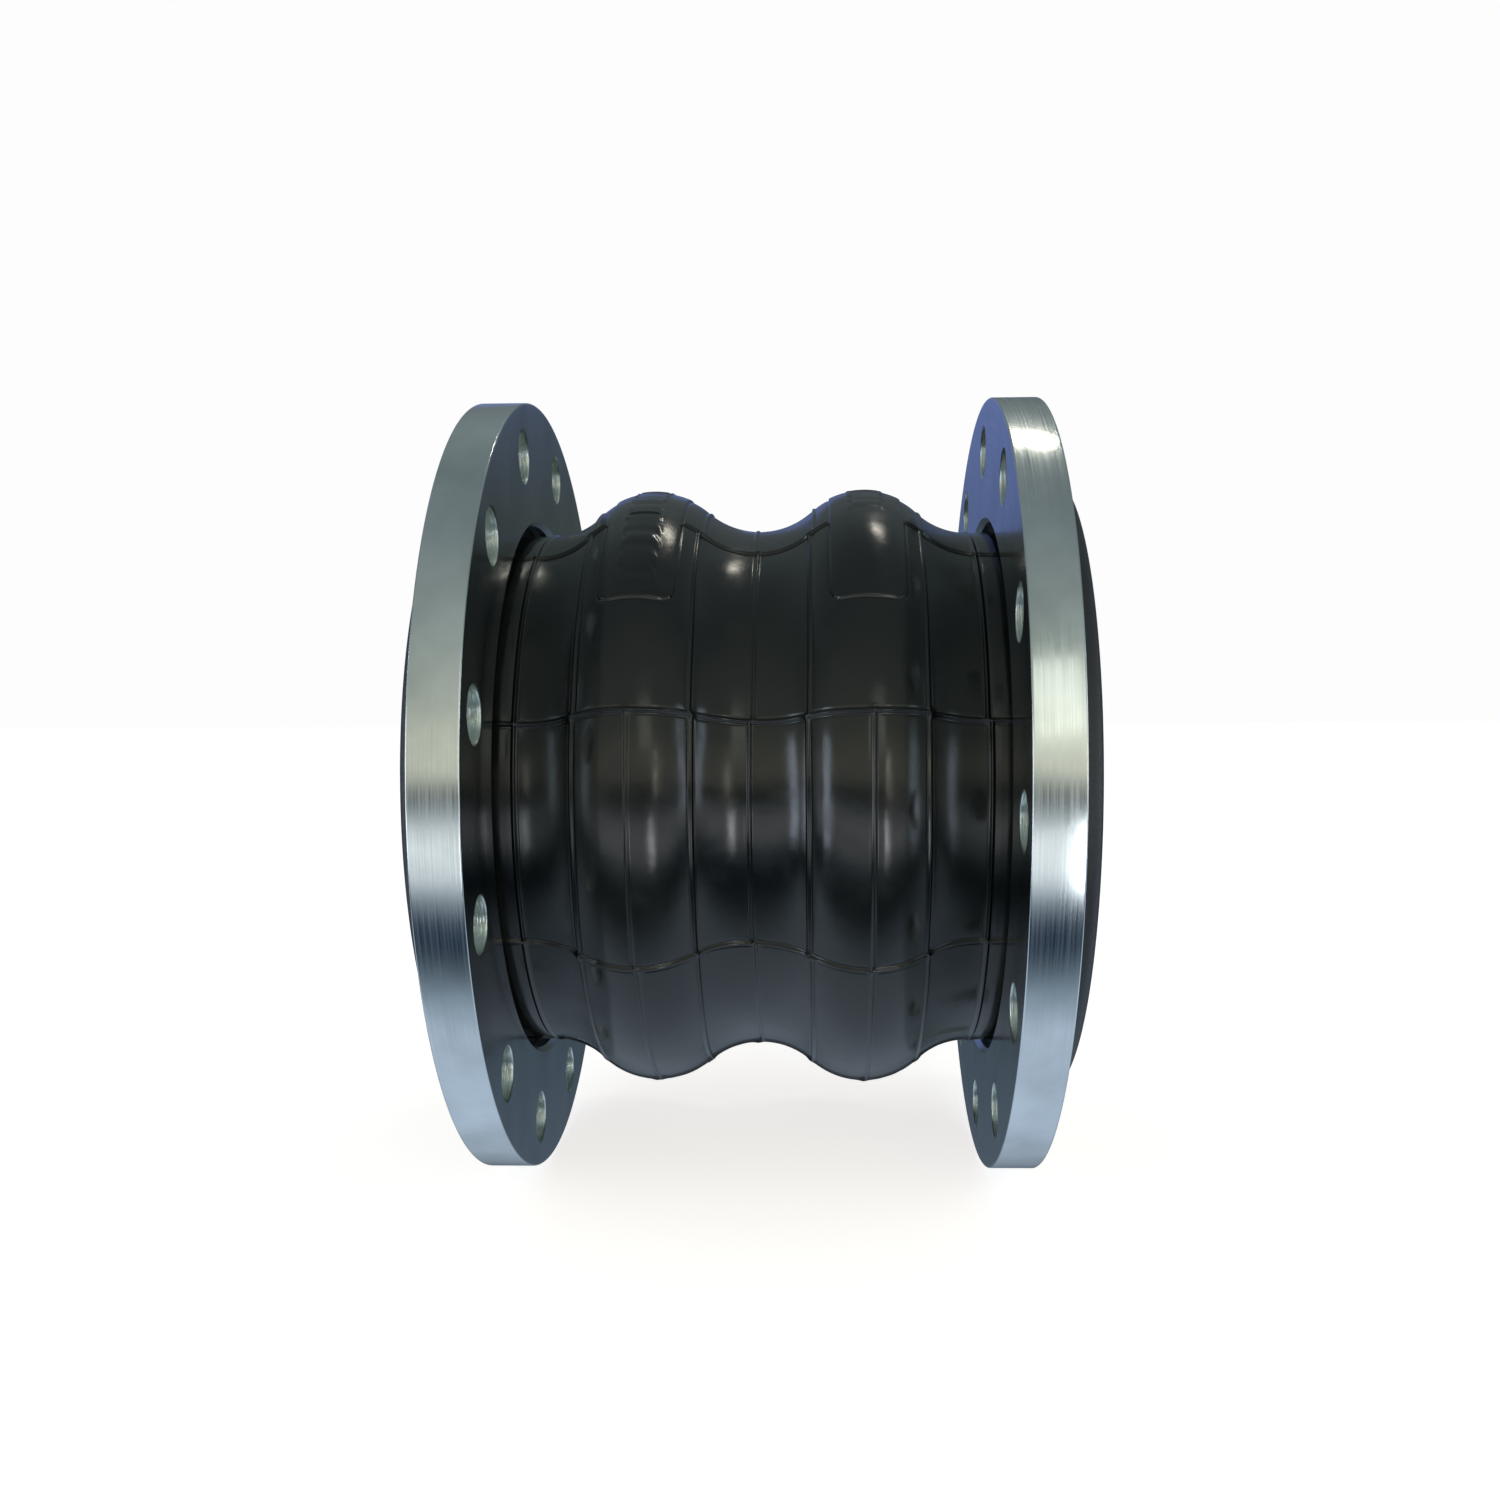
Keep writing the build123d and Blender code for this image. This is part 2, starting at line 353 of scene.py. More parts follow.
def rounded_box(across, along, half_across, half_along, corner):
    """How deep a point lies inside a box with rounded corners; negative outside it."""
    over = np.maximum(np.abs(across) - half_across + corner, 0)
    past = np.maximum(np.abs(along) - half_along + corner, 0)
    return corner - np.hypot(over, past)


def turn_between(angle, mark):
    """The signed angle from a mark, between -pi and pi."""
    return (angle - mark + pi) % (2 * pi) - pi


def wall_distance(x):
    """Distance along the cover's outline from the waist to a station, from chords 0.1 mm long."""
    fine = np.arange(0, WALL_END_X + 0.2 * MM, 0.1 * MM)
    chords = np.hypot(np.diff(fine), np.diff(wave(fine, CREST_R, WAIST_R, NECK_R)))
    run = np.concatenate([[0], np.cumsum(chords)])
    return np.sign(x) * np.interp(np.abs(x), fine, run)


def mould_rib(distance, half_width):
    """A rib's height as a share: a rounded ridge with a shallow groove along each foot."""
    foot = ridge(np.abs(distance) - 1.9 * half_width, 0.7 * half_width)
    return ridge(distance, half_width) - 0.22 * foot


def cover_relief(cover, x, angle):
    """How far the cover stands out: mould ribs at every half of the crests' distance from
    the waist, seams between the mould's segments, a label pad with plain bars on each crest,
    and a slow swell of the surface, the mean of three sines. Each segment of the mould holds
    its ribs a little out of line and of its own height."""
    along = wall_distance(x)
    radius = wave(x, CREST_R, WAIST_R, NECK_R)
    pitch = 2 * pi / cover.segments
    segment = np.floor((angle - cover.first_seam) / pitch).astype(int) % cover.segments
    seam_gap = (angle - cover.first_seam + pitch / 2) % pitch - pitch / 2
    wander = SEAM_WANDER * np.sin(along / (23 * MM)) + SEAM_RIPPLE * np.sin(along / (9 * MM) + 1)
    from_seam = seam_gap * radius + wander
    height = cover.rib_height * mould_rib(from_seam, cover.rib_half_width)
    chance = np.random.default_rng(11)
    for number in range(-4, 5):
        slip = chance.uniform(-1, 1, cover.segments)[segment] * cover.mould_slip
        share = chance.uniform(0.55, 1, cover.segments)
        if abs(number) == 2:
            share[:2] = 0  # the crests' own ribs stop at the two segments that hold the pads
        from_rib = along - wall_distance(number * CREST_X / 2) - slip
        rib = mould_rib(from_rib, cover.rib_half_width) * share[segment]
        flash = ridge(np.hypot(from_rib, from_seam), FLASH_REACH) * cover.flash_height
        taller = np.where(np.abs(rib) > np.abs(height / cover.rib_height), rib, 0)
        height = np.where(taller != 0, cover.rib_height * taller, height) + flash
    middle = cover.pad_start + cover.pad_arc / 2
    half = cover.pad_arc * CREST_R / 2
    for side in SIDES.values():
        across = along - wall_distance(side * CREST_X)
        round_it = turn_between(angle, middle) * CREST_R
        inside = rounded_box(across, round_it, PAD_WIDTH / 2, half, cover.pad_corner)
        pad = cover.pad_height * step_up(inside, PAD_SLOPE)
        pad = pad - PAD_GROOVE * ridge(inside, LINE_HALF_WIDTH)
        bars = cover.bar_height * pad_bars(across, round_it + half, side)
        height = height * (1 - step_up(inside + 1 * MM, 1 * MM)) + pad + bars
    swell = (
        np.sin(5 * angle + along / (25 * MM))
        + np.sin(9 * angle - along / (18 * MM) + 1)
        + np.sin(14 * angle + along / (11 * MM) + 2)
    )
    return height + cover.swell * swell / 3


def pad_bars(across, up_pad, side):
    """Plain raised outlines across a label pad, a pitch apart up it from the first one. They
    fill the space of the lettering that such a pad carries."""
    first, number = BARS[side]
    raised = 0.0
    for k in range(number):
        up = up_pad - first - k * BAR_PITCH
        inside = rounded_box(across, up, BAR_HALF_ACROSS, BAR_HALF_ALONG, BAR_CORNER)
        raised = raised + ridge(inside - PAD_SLOPE, LINE_HALF_WIDTH)
    return raised


# ---------------------------------------------------------------- pieces


def span_stations(marks, reach, fine, step):
    """Stations from one end of the wall to the other, with the spans' ends among them,
    and each span's first and last index."""
    stations = np.zeros(0)
    ends = []
    for _, low, high, _, _ in SPANS:
        first = max(len(stations) - 1, 0)
        samples = refined(low, high, step, marks, reach, fine)
        stations = np.concatenate([stations[:-1], samples]) if len(stations) else samples
        ends.append((first, len(stations) - 1))
    return stations, ends


def shell_span(name, outside, inside, normals, made):
    """A ring cut from a wall layer: its outside rows, then its inside rows turned back."""
    points = np.concatenate([outside, inside[::-1]])
    rows, columns = points.shape[:2]
    quads = grid_quads(rows, columns, close_rows=True)
    if normals is not None:
        normals = np.concatenate([normals, -normals[::-1]]).reshape(-1, 3)
    return add_piece(name, points.reshape(-1, 3), quads, [made], normals=normals, sharp=radians(50))


def grid_normals(points):
    """Unit normals of a grid that closes round its columns, from differences of neighbours."""
    along = np.gradient(points, axis=0)
    round_it = np.roll(points, -1, axis=1) - np.roll(points, 1, axis=1)
    cross = np.cross(along, round_it)
    cross /= np.linalg.norm(cross, axis=-1, keepdims=True)
    outwards = (cross[..., 1:] * points[..., 1:]).sum() > 0
    return cross if outwards else -cross


def finish_span(piece, span, slot, *replaced):
    """Bakes a span's placement into its mesh and hides the CAD parts that it replaces."""
    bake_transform(piece)
    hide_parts(*replaced)


def build_cover(cover, finish):
    """The outer rubber in four spans: outside, the wave carried round the pipe plus its relief
    along the wave's normal; inside, a plain wave set in by the cover's thickness."""
    pitch = 2 * pi / cover.segments
    rib_marks = [number * CREST_X / 2 for number in range(-4, 5)]
    edges = [side * (CREST_X + edge * PAD_WIDTH / 2) for side in (-1, 1) for edge in (-1, 1)]
    stations, ends = span_stations(rib_marks + edges, 2.6 * MM, 0.4 * MM, 1.6 * MM)
    seams = [(cover.first_seam + k * pitch) % (2 * pi) for k in range(cover.segments)]
    pad_ends = [cover.pad_start, cover.pad_start + cover.pad_arc]
    angles = refined(0, 2 * pi, radians(1.5), seams + pad_ends, radians(1.2), radians(0.17))[:-1]
    x = stations[:, None]
    angle = angles[None]
    radii = (CREST_R, WAIST_R, NECK_R)
    lean, rise = wave_normal(x, *radii)
    relief = cover_relief(cover, x, angle)
    outside = round_pipe(x + lean * relief, wave(x, *radii) + rise * relief, angle)
    normals = grid_normals(outside)
    inner = (CREST_R - COVER, WAIST_R - COVER_AT_WAIST, NECK_R - COVER)
    inside = round_pipe(x, wave(x, *inner), angle)
    made = moulded_cover_rubber(finish)
    for span, (first, last) in zip(SPANS, ends):
        cut = slice(first, last + 1)
        piece = shell_span(f"{span[0]}_cover", outside[cut], inside[cut], normals[cut], made)
        side = span[0].split("_")[0]
        finish_span(piece, span, "cover_rubber", "outer_cover", f"{side}_label_pad")


def build_layer(kind, depth, thickness, made, slot, replaced):
    """A plain layer of the wall in four spans: the carcass wave set in along its normal."""
    stations, ends = span_stations([], 1.0, 0.5 * MM, 2.5 * MM)
    x = stations[:, None]
    angle = np.linspace(0, 2 * pi, 180, endpoint=False)[None]
    radii = (
        CREST_R - COVER - FIT_GAP, WAIST_R - COVER_AT_WAIST - FIT_GAP, NECK_R - COVER - FIT_GAP
    )
    lean, rise = wave_normal(x, *radii)
    skins = [
        round_pipe(x - lean * d, wave(x, *radii) - rise * d, angle)
        for d in (depth, depth + thickness)
    ]
    normals = grid_normals(skins[0])
    for span, (first, last) in zip(SPANS, ends):
        cut = slice(first, last + 1)
        piece = shell_span(f"{span[0]}_{kind}", skins[0][cut], skins[1][cut], normals[cut], made)
        finish_span(piece, span, slot, *replaced)


def turned_ring(outline, columns):
    """A closed section (x, radius) carried once round the pipe: points and quads."""
    angle = np.linspace(0, 2 * pi, columns, endpoint=False)[None]
    points = round_pipe(outline[:, :1], outline[:, 1:], angle)
    return points.reshape(-1, 3), grid_quads(len(outline), columns, close_rows=True)


def build_seal_end(side_name, made):
    """The rubber end: collar, flare, bead bulge, disc and bore as one turned section."""
    start_x = WALL_END_X + WALL_GAP
    back_x = FLANGE_OUT_X + FIT_GAP
    collar_x = FLANGE_OUT_X - BEAD_BULGE
    corners = [
        (start_x, BORE_R, WALL_GAP),
        (SEAL_HIGH.x, BORE_R, 3 * MM),
        (SEAL_HIGH.x, SEAL_R, 5 * MM),
        (back_x, SEAL_R, 2 * MM),
        (back_x, FLANGE_BORE_R + BEAD_BULGE, 0),
        (collar_x, FLANGE_BORE_R + BEAD_BULGE, BEAD_BULGE),
        (collar_x, NECK_R, 5 * MM),
        (collar_x - COLLAR_LENGTH, NECK_R, 0),
        (collar_x - COLLAR_LENGTH, NECK_R - COLLAR_STEP, 0),
        (start_x, NECK_R - COLLAR_STEP, 0),
    ]
    outline = rounded_outline(corners)
    outline[:, 0] *= SIDES[side_name]
    points, quads = turned_ring(outline, 360)
    piece = add_piece(f"{side_name}_seal_end", points, quads, [made], sharp=radians(40))
    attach(piece, f"{side_name}_end")
    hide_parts(f"{side_name}_seal_ring")


def hole_rays(growth):
    """Rings of the rays round one hole, as (radius, turn) about the pipe axis: growth times a
    unit direction for each ray, from the hole's centre on the bolt circle."""
    radius = np.hypot(growth[..., 0] + BOLT_CIRCLE_R, growth[..., 1])
    return radius, np.arctan2(growth[..., 1], growth[..., 0] + BOLT_CIRCLE_R)


def sector_outline(inner_r, outer_r, quarter):
    """One hole's sector, seen from the hole's centre: inner arc, side, outer arc, side."""
    half = pi / BOLT_COUNT
    share = np.arange(quarter) / quarter
    width = outer_r - inner_r
    radius = [inner_r, inner_r + width * share, outer_r, outer_r - width * share]
    turn = [-half + 2 * half * share, half, half - 2 * half * share, -half]
    radius = np.concatenate([np.broadcast_to(part, quarter) for part in radius])
    turn = np.concatenate([np.broadcast_to(part, quarter) for part in turn])
    return np.stack([radius * np.cos(turn) - BOLT_CIRCLE_R, radius * np.sin(turn)], axis=-1)


def bolt_hole_skin(x, growth, phase):
    """The same rings of rays at every hole of the bolt circle: points and quads."""
    radius, turn = hole_rays(growth)
    angles = phase + np.arange(BOLT_COUNT) * 2 * pi / BOLT_COUNT
    points = round_pipe(x, radius, turn + angles[:, None, None])
    rows, columns = radius.shape
    quads = [grid_quads(rows, columns, first=k * rows * columns) for k in range(BOLT_COUNT)]
    return points.reshape(-1, 3), np.concatenate(quads)


def weld(piece, distance):
    """Merges the points where a piece's strips meet, and turns its faces outwards."""
    soup = bmesh.new()
    soup.from_mesh(piece.data)
    bmesh.ops.remove_doubles(soup, verts=soup.verts, dist=distance)
    bmesh.ops.recalc_face_normals(soup, faces=soup.faces)
    soup.to_mesh(piece.data)
    soup.free()


def flange_strips(flange):
    """The turned parts of a flange's skin: the rim with its rounded edges, and the bore from
    the outer face's groove to the inner face's chamfer."""
    edge = flange.edge_radius
    groove = BEAD_BULGE + FIT_GAP
    lip = FLANGE_BORE_R + groove
    mouth = FLANGE_BORE_R + BORE_CHAMFER
    rim = [
        (FLANGE_IN_X, FLANGE_R - 3 * edge, 0),
        (FLANGE_IN_X, FLANGE_R, edge),
        (FLANGE_OUT_X, FLANGE_R, edge),
        (FLANGE_OUT_X, FLANGE_R - 3 * edge, 0),
    ]
    bore = [
        (FLANGE_OUT_X, lip + 3 * edge, 0),
        (FLANGE_OUT_X, lip, 0.4 * MM),
        (FLANGE_OUT_X - groove, lip, groove - 1 * MM),
        (FLANGE_OUT_X - groove, FLANGE_BORE_R, 0.3 * MM),
        (FLANGE_IN_X + BORE_CHAMFER, FLANGE_BORE_R, 0.3 * MM),
        (FLANGE_IN_X, mouth, 0.3 * MM),
        (FLANGE_IN_X, mouth + 3 * edge, 0),
    ]
    return [rounded_outline(corners, step=radians(12)) for corners in (rim, bore)]


def build_flange(side_name, flange, steel, drilled):
    """A loose flange: turned rim and bore, two drilled faces and the holes' walls. All of them
    stand on the same rays, so that they weld into one closed skin."""
    phase = flange.left_phase if side_name == "left" else flange.right_phase
    quarter = flange.rays // 4
    rim, bore = flange_strips(flange)
    columns = quarter * BOLT_COUNT
    angle = phase + pi / BOLT_COUNT + np.arange(columns) * 2 * pi / columns
    skins = []
    for strip in (rim, bore):
        points = round_pipe(strip[:, :1], strip[:, 1:], angle[None]).reshape(-1, 3)
        skins.append((points, grid_quads(len(strip), columns)))
    ease = flange.hole_edge
    middle_x = (FLANGE_IN_X + FLANGE_OUT_X) / 2
    even = sector_outline(bore[-1, 1], rim[0, 1], quarter)
    even /= np.linalg.norm(even, axis=1, keepdims=True)
    steps = np.array([0, 0.05, 0.4, 1])[:, None, None]  # shares of the way to the sector's edge
    faces = ((FLANGE_IN_X, bore[-1, 1], rim[0, 1]), (FLANGE_OUT_X, bore[0, 1], rim[-1, 1]))
    for x, inner_r, outer_r in faces:
        outline = sector_outline(inner_r, outer_r, quarter)
        ray = outline / np.linalg.norm(outline, axis=1, keepdims=True)
        mouth = ray * (HOLE_R + ease)
        skins.append(bolt_hole_skin(x, mouth + (outline - mouth) * steps, phase))
        turns = np.linspace(0, pi / 2, 5)
        depth = np.append(abs(middle_x - x) - ease * (1 - np.cos(turns)), [0])
        width = HOLE_R + ease * (1 - np.sin(turns))
        wall_x = middle_x + np.sign(x - middle_x) * depth
        wall = np.concatenate([ray * width[:, None, None], HOLE_R * even[None]])
        skins.append(bolt_hole_skin(wall_x[:, None], wall, phase))
    points = np.concatenate([skin[0] for skin in skins])
    starts = np.cumsum([0] + [len(skin[0]) for skin in skins[:-1]])
    quads = np.concatenate([skin[1] + start for skin, start in zip(skins, starts)])
    walls = (3, 5)  # rim, bore, face, wall, face, wall
    slots = np.concatenate([np.full(len(skin[1]), k in walls) for k, skin in enumerate(skins)])
    points[:, 0] *= SIDES[side_name]
    piece = add_piece(f"{side_name}_loose_flange", points, quads, [steel, drilled], slots=slots)
    weld(piece, 0.02 * MM)
    piece.data.set_sharp_from_angle(angle=radians(32))
    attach(piece, f"{side_name}_flange")
    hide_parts(f"{side_name}_flange")


# ---------------------------------------------------------------- materials


def moulded_cover_rubber(finish):
    """Chloroprene rubber, cured in a polished mould: near black, with soft clear reflections
    that wobble a little and dull in patches where hands and dust have been."""
    made, tree, place = material("moulded_cover_rubber")
    patches = node(tree, "ShaderNodeTexNoise", Vector=place, Scale=1 / (55 * MM), Detail=3.0)
    smears = node(tree, "ShaderNodeTexNoise", Vector=place, Scale=1 / (14 * MM), Detail=6.0)
    colour = node(
        tree, "ShaderNodeValToRGB", stops=[(0.4, finish.rubber), (0.7, finish.rubber_worn)],
        Fac=patches.outputs["Fac"],
    )
    gloss = finish.rubber_roughness
    dull = node(
        tree, "ShaderNodeMapRange", Value=smears.outputs["Fac"], From_Min=0.45, From_Max=0.75,
        To_Min=gloss, To_Max=gloss + 0.12,
    )
    skin = node(tree, "ShaderNodeTexNoise", Vector=place, Scale=1 / (9 * MM), Detail=2.0)
    bump = node(tree, "ShaderNodeBump", Strength=0.3, Distance=0.25 * MM, Height=skin.outputs["Fac"])
    shader = node(
        tree, "ShaderNodeBsdfPrincipled", Base_Color=colour.outputs[0], Roughness=dull.outputs[0],
        Normal=bump.outputs[0], IOR=1.46,
    )
    node(tree, "ShaderNodeOutputMaterial", Surface=shader.outputs[0])
    return made


def plain_rubber(name, colour, roughness, grain_mm):
    """Cured rubber with a matt skin: dark, with a fine even grain that spreads highlights."""
    made, tree, place = material(name)
    grain = node(tree, "ShaderNodeTexNoise", Vector=place, Scale=1 / (grain_mm * MM))
    bump = node(tree, "ShaderNodeBump", Strength=0.3, Distance=0.3 * MM, Height=grain.outputs["Fac"])
    dull = node(
        tree, "ShaderNodeMapRange", Value=grain.outputs["Fac"], From_Min=0.3, From_Max=0.7,
        To_Min=roughness - 0.08, To_Max=roughness + 0.08,
    )
    shader = node(
        tree, "ShaderNodeBsdfPrincipled", Base_Color=colour, Roughness=dull.outputs[0],
        Normal=bump.outputs[0], IOR=1.52,
    )
    node(tree, "ShaderNodeOutputMaterial", Surface=shader.outputs[0])
    return made


def turned_zinc_steel(finish):
    """Low-carbon steel, turned on a lathe and bright zinc plated. The tool's rings run round
    the pipe, 0.9 mm apart so that they show; they spread reflections across their run only."""
    made, tree, place = material("turned_zinc_steel")
    parts = node(tree, "ShaderNodeSeparateXYZ", Vector=place)
    flat = node(tree, "ShaderNodeCombineXYZ", Y=parts.outputs["Y"], Z=parts.outputs["Z"])
    radius = node(tree, "ShaderNodeVectorMath", {"operation": "LENGTH"}, i0=flat.outputs[0])
    path = node(
        tree, "ShaderNodeMath", {"operation": "ADD"}, i0=parts.outputs["X"],
        i1=radius.outputs["Value"],
    )
    turns = node(
        tree, "ShaderNodeMath", {"operation": "ARCTAN2"}, i0=parts.outputs["Z"], i1=parts.outputs["Y"]
    )
    unrolled = node(tree, "ShaderNodeCombineXYZ", X=path.outputs[0], Y=turns.outputs[0])
    stretched = node(
        tree, "ShaderNodeMapping", Vector=unrolled.outputs[0], Scale=(1 / (0.9 * MM), 2.0, 1.0)
    )
    rings = node(
        tree, "ShaderNodeTexNoise", {"noise_dimensions": "2D"}, Vector=stretched.outputs[0],
        Scale=1.0, Detail=3.0,
    )
    clouds = node(tree, "ShaderNodeTexNoise", Vector=place, Scale=1 / (40 * MM), Detail=5.0)
    colour = node(
        tree, "ShaderNodeValToRGB", stops=[(0.35, finish.zinc), (0.7, finish.zinc_dull)],
        Fac=clouds.outputs["Fac"],
    )
    shine = finish.zinc_roughness
    rough = node(
        tree, "ShaderNodeMapRange", Value=rings.outputs["Fac"], From_Min=0.3, From_Max=0.7,
        To_Min=shine - 0.04, To_Max=shine + 0.06,
    )
    bump = node(tree, "ShaderNodeBump", Strength=0.1, Distance=0.05 * MM, Height=rings.outputs["Fac"])
    along = node(tree, "ShaderNodeTangent", {"direction_type": "RADIAL", "axis": "X"})
    shader = node(
        tree, "ShaderNodeBsdfPrincipled", Base_Color=colour.outputs[0], Metallic=1.0,
        Roughness=rough.outputs[0], Normal=bump.outputs[0], Anisotropic=0.3,
        Tangent=along.outputs[0],
    )
    node(tree, "ShaderNodeOutputMaterial", Surface=shader.outputs[0])
    return made


def drilled_zinc_steel(finish):
    """The same steel where a drill has been: bright, torn rings one feed apart."""
    made, tree, place = material("drilled_zinc_steel")
    torn = node(
        tree, "ShaderNodeMapping", Vector=place, Scale=(1 / (0.8 * MM), 1 / (5 * MM), 1 / (5 * MM))
    )
    rings = node(tree, "ShaderNodeTexNoise", Vector=torn.outputs[0], Scale=1.0, Detail=4.0)
    bump = node(tree, "ShaderNodeBump", Strength=0.9, Distance=0.35 * MM, Height=rings.outputs["Fac"])
    shader = node(
        tree, "ShaderNodeBsdfPrincipled", Base_Color=finish.zinc_drilled, Metallic=1.0,
        Roughness=0.35, Normal=bump.outputs[0],
    )
    node(tree, "ShaderNodeOutputMaterial", Surface=shader.outputs[0])
    return made


def plain_steel(name, colour, roughness):
    """Drawn wire or rolled strip: metal with an uneven sheen."""
    made, tree, place = material(name)
    sheen = node(tree, "ShaderNodeTexNoise", Vector=place, Scale=1 / (3 * MM))
    rough = node(
        tree, "ShaderNodeMapRange", Value=sheen.outputs["Fac"], From_Min=0.3, From_Max=0.7,
        To_Min=roughness, To_Max=roughness + 0.15,
    )
    shader = node(
        tree, "ShaderNodeBsdfPrincipled", Base_Color=colour, Metallic=1.0, Roughness=rough.outputs[0]
    )
    node(tree, "ShaderNodeOutputMaterial", Surface=shader.outputs[0])
    return made


def cord_fabric(name, colour, gap_colour, pitch_mm):
    """Rubber-coated cord or cloth: threads side by side round the pipe, dark rubber between."""
    made, tree, place = material(name)
    parts = node(tree, "ShaderNodeSeparateXYZ", Vector=place)
    angle = node(
        tree, "ShaderNodeMath", {"operation": "ARCTAN2"}, i0=parts.outputs["Z"], i1=parts.outputs["Y"]
    )
    count = round(2 * pi * NECK_R / (pitch_mm * MM))
    phase = node(tree, "ShaderNodeMath", {"operation": "MULTIPLY"}, i0=angle.outputs[0], i1=count)
    thread = node(tree, "ShaderNodeMath", {"operation": "SINE"}, i0=phase.outputs[0])
    share = node(tree, "ShaderNodeMapRange", Value=thread.outputs[0], From_Min=-1.0, From_Max=1.0)
    bump = node(tree, "ShaderNodeBump", Strength=0.5, Distance=0.3 * MM, Height=share.outputs[0])
    colours = node(
        tree, "ShaderNodeValToRGB", stops=[(0.2, gap_colour), (0.7, colour)], Fac=share.outputs[0]
    )
    shader = node(
        tree, "ShaderNodeBsdfPrincipled", Base_Color=colours.outputs[0], Roughness=0.8,
        Normal=bump.outputs[0],
    )
    node(tree, "ShaderNodeOutputMaterial", Surface=shader.outputs[0])
    return made


def give_material(name, made):
    """Puts a material in place of a CAD node's own."""
    mesh = frame["nodes"][name].data
    mesh.materials.clear()
    mesh.materials.append(made)


# ---------------------------------------------------------------- stage


def build_floor(stage):
    """A flat pale floor just under the flanges' rims, 12 m across. It is left out of
    reflections, which show the room there."""
    half = 6.0
    low = cad_box[0][2] - 0.2 * MM  # a hair below the rims
    corners = [(-half, -half, low), (half, -half, low), (half, half, low), (-half, half, low)]
    mesh = bpy.data.meshes.new("floor")
    mesh.from_pydata(corners, [], [(0, 1, 2, 3)])
    floor = bpy.data.objects.new("floor", mesh)
    bpy.context.scene.collection.objects.link(floor)
    floor.visible_glossy = False
    made, tree, _ = material("pale_floor")
    shader = node(
        tree, "ShaderNodeBsdfPrincipled", Base_Color=stage.floor, Roughness=1.0,
        Specular_IOR_Level=0.0, Emission_Color=stage.floor, Emission_Strength=stage.floor_glow,
    )
    node(tree, "ShaderNodeOutputMaterial", Surface=shader.outputs[0])
    mesh.materials.append(made)


def build_world(stage):
    """A soft room whose colour depends on the turn about the pipe axis. The bands are (degrees,
    colour): -180 is the back, -90 straight down, 0 the front, 90 overhead and 180 the back
    again. The camera itself sees a plain backdrop."""
    world = bpy.data.worlds.new("soft_room")
    bpy.context.scene.world = world
    world.use_nodes = True
    tree = world.node_tree
    tree.nodes.clear()
    ray = node(tree, "ShaderNodeTexCoord").outputs["Generated"]
    parts = node(tree, "ShaderNodeSeparateXYZ", Vector=ray)
    front = node(tree, "ShaderNodeMath", {"operation": "MULTIPLY"}, i0=parts.outputs["Y"], i1=-1.0)
    turn = node(
        tree, "ShaderNodeMath", {"operation": "ARCTAN2"}, i0=parts.outputs["Z"], i1=front.outputs[0]
    )
    share = node(tree, "ShaderNodeMapRange", Value=turn.outputs[0], From_Min=-pi, From_Max=pi)
    bands = [
        (-180, "#353b3d"), (-172, "#30383b"), (-164, "#3f4a55"), (-152, "#56606b"), (-130, "#93a0ae"),
        (-112, "#abbacd"), (-68, "#b8c7da"), (-54, "#8190a0"), (-48, "#55636f"), (-40, "#1a283b"),
        (-32, "#22344a"), (-25, "#8d99a5"), (-19, "#eef4f8"), (-9, "#f6fafd"), (-4, "#a7b1b8"),
        (1, "#555a5c"), (5, "#555a5c"), (8, "#d8d8c8"), (20, "#c8c8b8"), (27, "#a3a89f"),
        (50, "#929b98"), (85, "#6d777a"), (130, "#737e80"), (155, "#5c6465"), (168, "#48526a"),
        (174, "#363d3d"), (180, "#3d4446"),
    ]
    room = node(
        tree, "ShaderNodeValToRGB", Fac=share.outputs[0],
        stops=[((degrees + 180) / 360, linear(colour)) for degrees, colour in bands],
    )
    soft = node(tree, "ShaderNodeBackground", Color=room.outputs[0], Strength=stage.room_light)
    plain = node(tree, "ShaderNodeBackground", Color=stage.backdrop, Strength=1.0)
    seen = node(tree, "ShaderNodeLightPath").outputs["Is Camera Ray"]
    mixed = node(tree, "ShaderNodeMixShader", Fac=seen, i1=soft.outputs[0], i2=plain.outputs[0])
    node(tree, "ShaderNodeOutputWorld", Surface=mixed.outputs[0])


